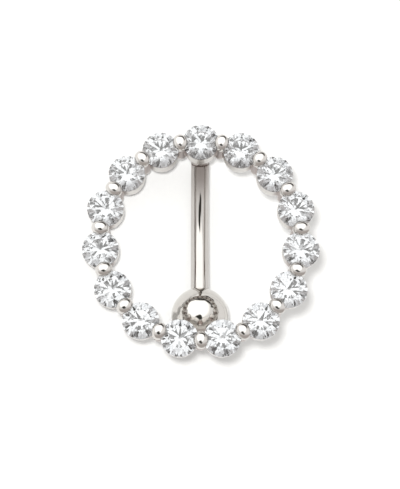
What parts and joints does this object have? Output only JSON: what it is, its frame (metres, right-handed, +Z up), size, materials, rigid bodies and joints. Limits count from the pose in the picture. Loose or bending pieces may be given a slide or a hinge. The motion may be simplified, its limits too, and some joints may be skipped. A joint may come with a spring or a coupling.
{
  "type": "belly button ring",
  "caption": "Navel ring: an open circle of round brilliant stones in shared beads, with a curved bar behind it that ends in a screw-on ball.",
  "frame": {"origin": "middle of the base of the whole ring's box, on the surface that the ring rests on", "axes": "+Z up from that surface, as the ring lies on its ball, its bar and the back of one cup; +Y towards the top stone, away from the ball; +X to the right as the front shows it"},
  "size_m": [0.0184, 0.0194, 0.0115],
  "materials": {
    "white_gold": "polished",
    "cubic_zirconia": "polished"
  },
  "bodies": {
    "circle": {"setting_with_bar": "white_gold", "stone_01": "cubic_zirconia", "stone_02": "cubic_zirconia", "stone_03": "cubic_zirconia", "stone_04": "cubic_zirconia", "stone_05": "cubic_zirconia", "stone_06": "cubic_zirconia", "stone_07": "cubic_zirconia", "stone_08": "cubic_zirconia", "stone_09": "cubic_zirconia", "stone_10": "cubic_zirconia", "stone_11": "cubic_zirconia", "stone_12": "cubic_zirconia", "stone_13": "cubic_zirconia", "stone_14": "cubic_zirconia", "stone_15": "cubic_zirconia"},
    "screw_ball": {"ball": "white_gold"}
  },
  "joints": [
    {"name": "ball_unscrew", "type": "slide", "parent": "circle", "child": "screw_ball", "axis": [-0.1177, -0.9626, 0.2439], "range_m": [0, 0.0026]}
  ]
}
